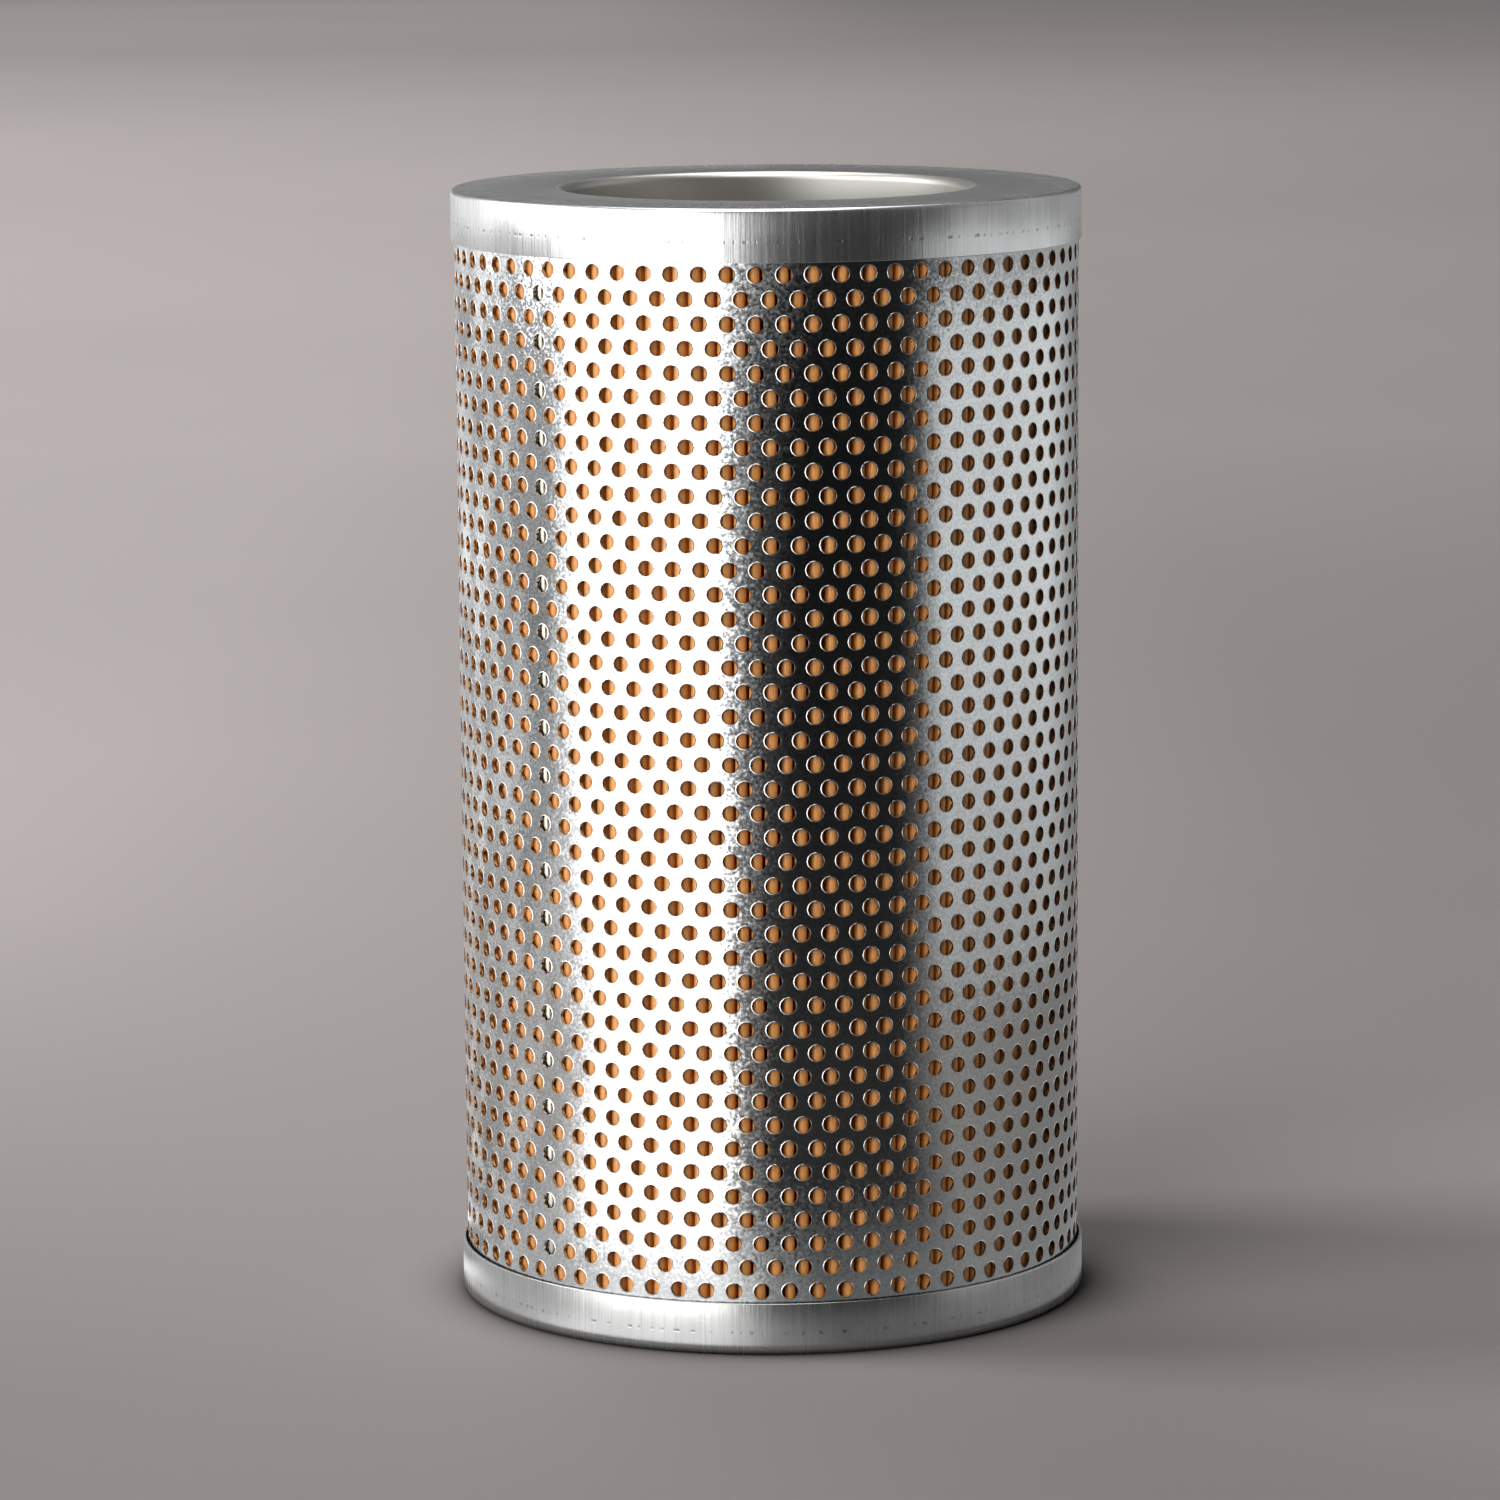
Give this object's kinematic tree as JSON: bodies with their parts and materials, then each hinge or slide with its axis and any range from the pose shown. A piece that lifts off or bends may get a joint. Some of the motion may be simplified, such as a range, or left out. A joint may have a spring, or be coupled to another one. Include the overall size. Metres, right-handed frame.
{
  "type": "hydraulic filter element",
  "caption": "Cylindrical hydraulic filter element: pleated paper in a perforated steel tube between two pressed end caps.",
  "frame": {"origin": "centre of the bottom face, which the filter stands on", "axes": "+Z along the filter's axis, out of the neck of the top cap; -Y is the side that the picture shows"},
  "size_m": [0.139, 0.139, 0.246],
  "materials": {
    "cap_steel": "bright zinc-coated sheet with faint spangle and draw marks",
    "guard_steel": "zinc-coated perforated sheet with faint spangle",
    "core_steel": "plain zinc-coated perforated sheet",
    "clip_steel": "plain tinned strip",
    "cured_adhesive": "dark cured resin",
    "filter_paper": "resin-impregnated orange-brown filter paper, matt"
  },
  "bodies": {
    "root": {"top_end_cap": "cap_steel", "bottom_end_cap": "cap_steel", "outer_tube": "guard_steel", "centre_tube": "core_steel", "media_seam_clip": "clip_steel", "top_adhesive": "cured_adhesive", "bottom_adhesive": "cured_adhesive", "pleated_media": "filter_paper"}
  },
  "joints": []
}
